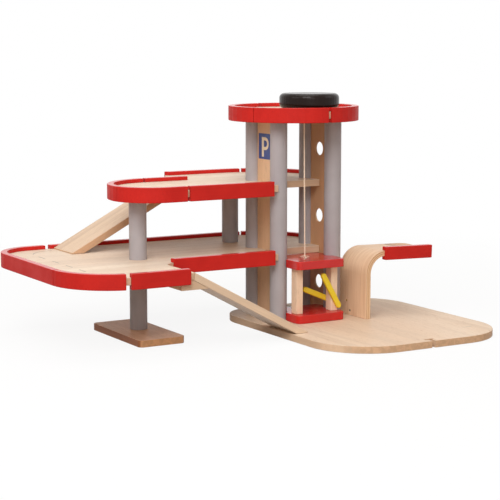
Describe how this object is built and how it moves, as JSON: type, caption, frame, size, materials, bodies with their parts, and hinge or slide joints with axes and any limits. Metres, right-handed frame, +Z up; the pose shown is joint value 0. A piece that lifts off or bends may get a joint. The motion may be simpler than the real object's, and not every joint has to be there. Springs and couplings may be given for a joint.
{
  "type": "toy parking garage",
  "caption": "Wooden toy parking garage with decks on round columns, red guard rails, ramps, a canopy and a string lift wound by a knob.",
  "frame": {"origin": "centre of the lift tower's plan, on the underside of the base board", "axes": "+Z up; +X along the garage's length, towards the base board's canopy end; +Y towards the rear, away from the lift"},
  "size_m": [0.615, 0.451, 0.3415],
  "materials": {
    "pale_wood": "satin lacquer",
    "plywood": "satin lacquer, plies open at the edges",
    "red_paint": "gloss paint on wood",
    "grey_paint": "satin paint on wood",
    "yellow_paint": "gloss paint on wood",
    "black_paint": "high gloss paint on wood",
    "steel": "zinc plated",
    "cotton": "twisted cotton string"
  },
  "bodies": {
    "garage": {"base_board": "pale_wood", "foot_plate": "pale_wood", "tower_column_front_left": "grey_paint", "tower_column_front_right": "grey_paint", "tower_column_rear_left": "grey_paint", "tower_column_rear_right": "grey_paint", "deck_column_front": "grey_paint", "deck_column_rear": "grey_paint", "tower_panel_left": "pale_wood", "tower_panel_right": "pale_wood", "lower_deck": "pale_wood", "lower_rail_rear_right": "red_paint", "lower_rail_rear": "red_paint", "lower_rail_left": "red_paint", "lower_rail_front_left": "red_paint", "lower_rail_lobe": "red_paint", "lower_rail_front": "red_paint", "upper_deck": "pale_wood", "upper_rail_rear_right": "red_paint", "upper_rail_rear": "red_paint", "upper_rail_rear_left": "red_paint", "upper_rail_left": "red_paint", "upper_rail_front_left": "red_paint", "upper_rail_front": "red_paint", "top_deck": "pale_wood", "top_rail_rear_right": "red_paint", "top_rail_rear_left": "red_paint", "top_rail_front_left": "red_paint", "top_rail_front_right": "red_paint", "lower_ramp": "pale_wood", "lower_ramp_ledge": "pale_wood", "upper_ramp": "pale_wood", "upper_ramp_ledge": "pale_wood", "canopy_shell": "plywood", "canopy_rail": "red_paint"},
    "lift_cage": {"cage_floor": "red_paint", "cage_roof": "red_paint", "cage_post_left": "pale_wood", "cage_post_right": "pale_wood", "gate_pin": "pale_wood", "string_ring": "cotton", "lift_string": "cotton"},
    "front_gate": {"gate_bar_front": "yellow_paint"},
    "rear_gate": {"gate_bar_rear": "yellow_paint"},
    "knob": {"winding_knob": "black_paint", "knob_axle": "steel", "axle_washer": "steel"}
  },
  "joints": [
    {"name": "lift_slide", "type": "slide", "parent": "garage", "child": "lift_cage", "axis": [0, 0, 1], "range_m": [0, 0.188], "deforming": ["lift_string"]},
    {"name": "knob_turn", "type": "hinge", "parent": "garage", "child": "knob", "pos_m": [0, -0.043, 0.3305], "axis": [0, 0, 1], "range_deg": [0, 1075]},
    {"name": "front_gate_swing", "type": "hinge", "parent": "lift_cage", "child": "front_gate", "pos_m": [0.0315, -0.0702, 0.0369], "axis": [0, 1, 0], "range_deg": [-60, 30]},
    {"name": "rear_gate_swing", "type": "hinge", "parent": "lift_cage", "child": "rear_gate", "pos_m": [0.0315, -0.05, 0.0369], "axis": [0, 1, 0], "range_deg": [-23, 67]}
  ],
  "couplings": [
    {"joint": "knob_turn", "follows": "lift_slide", "rad_per_m": 99.5}
  ]
}
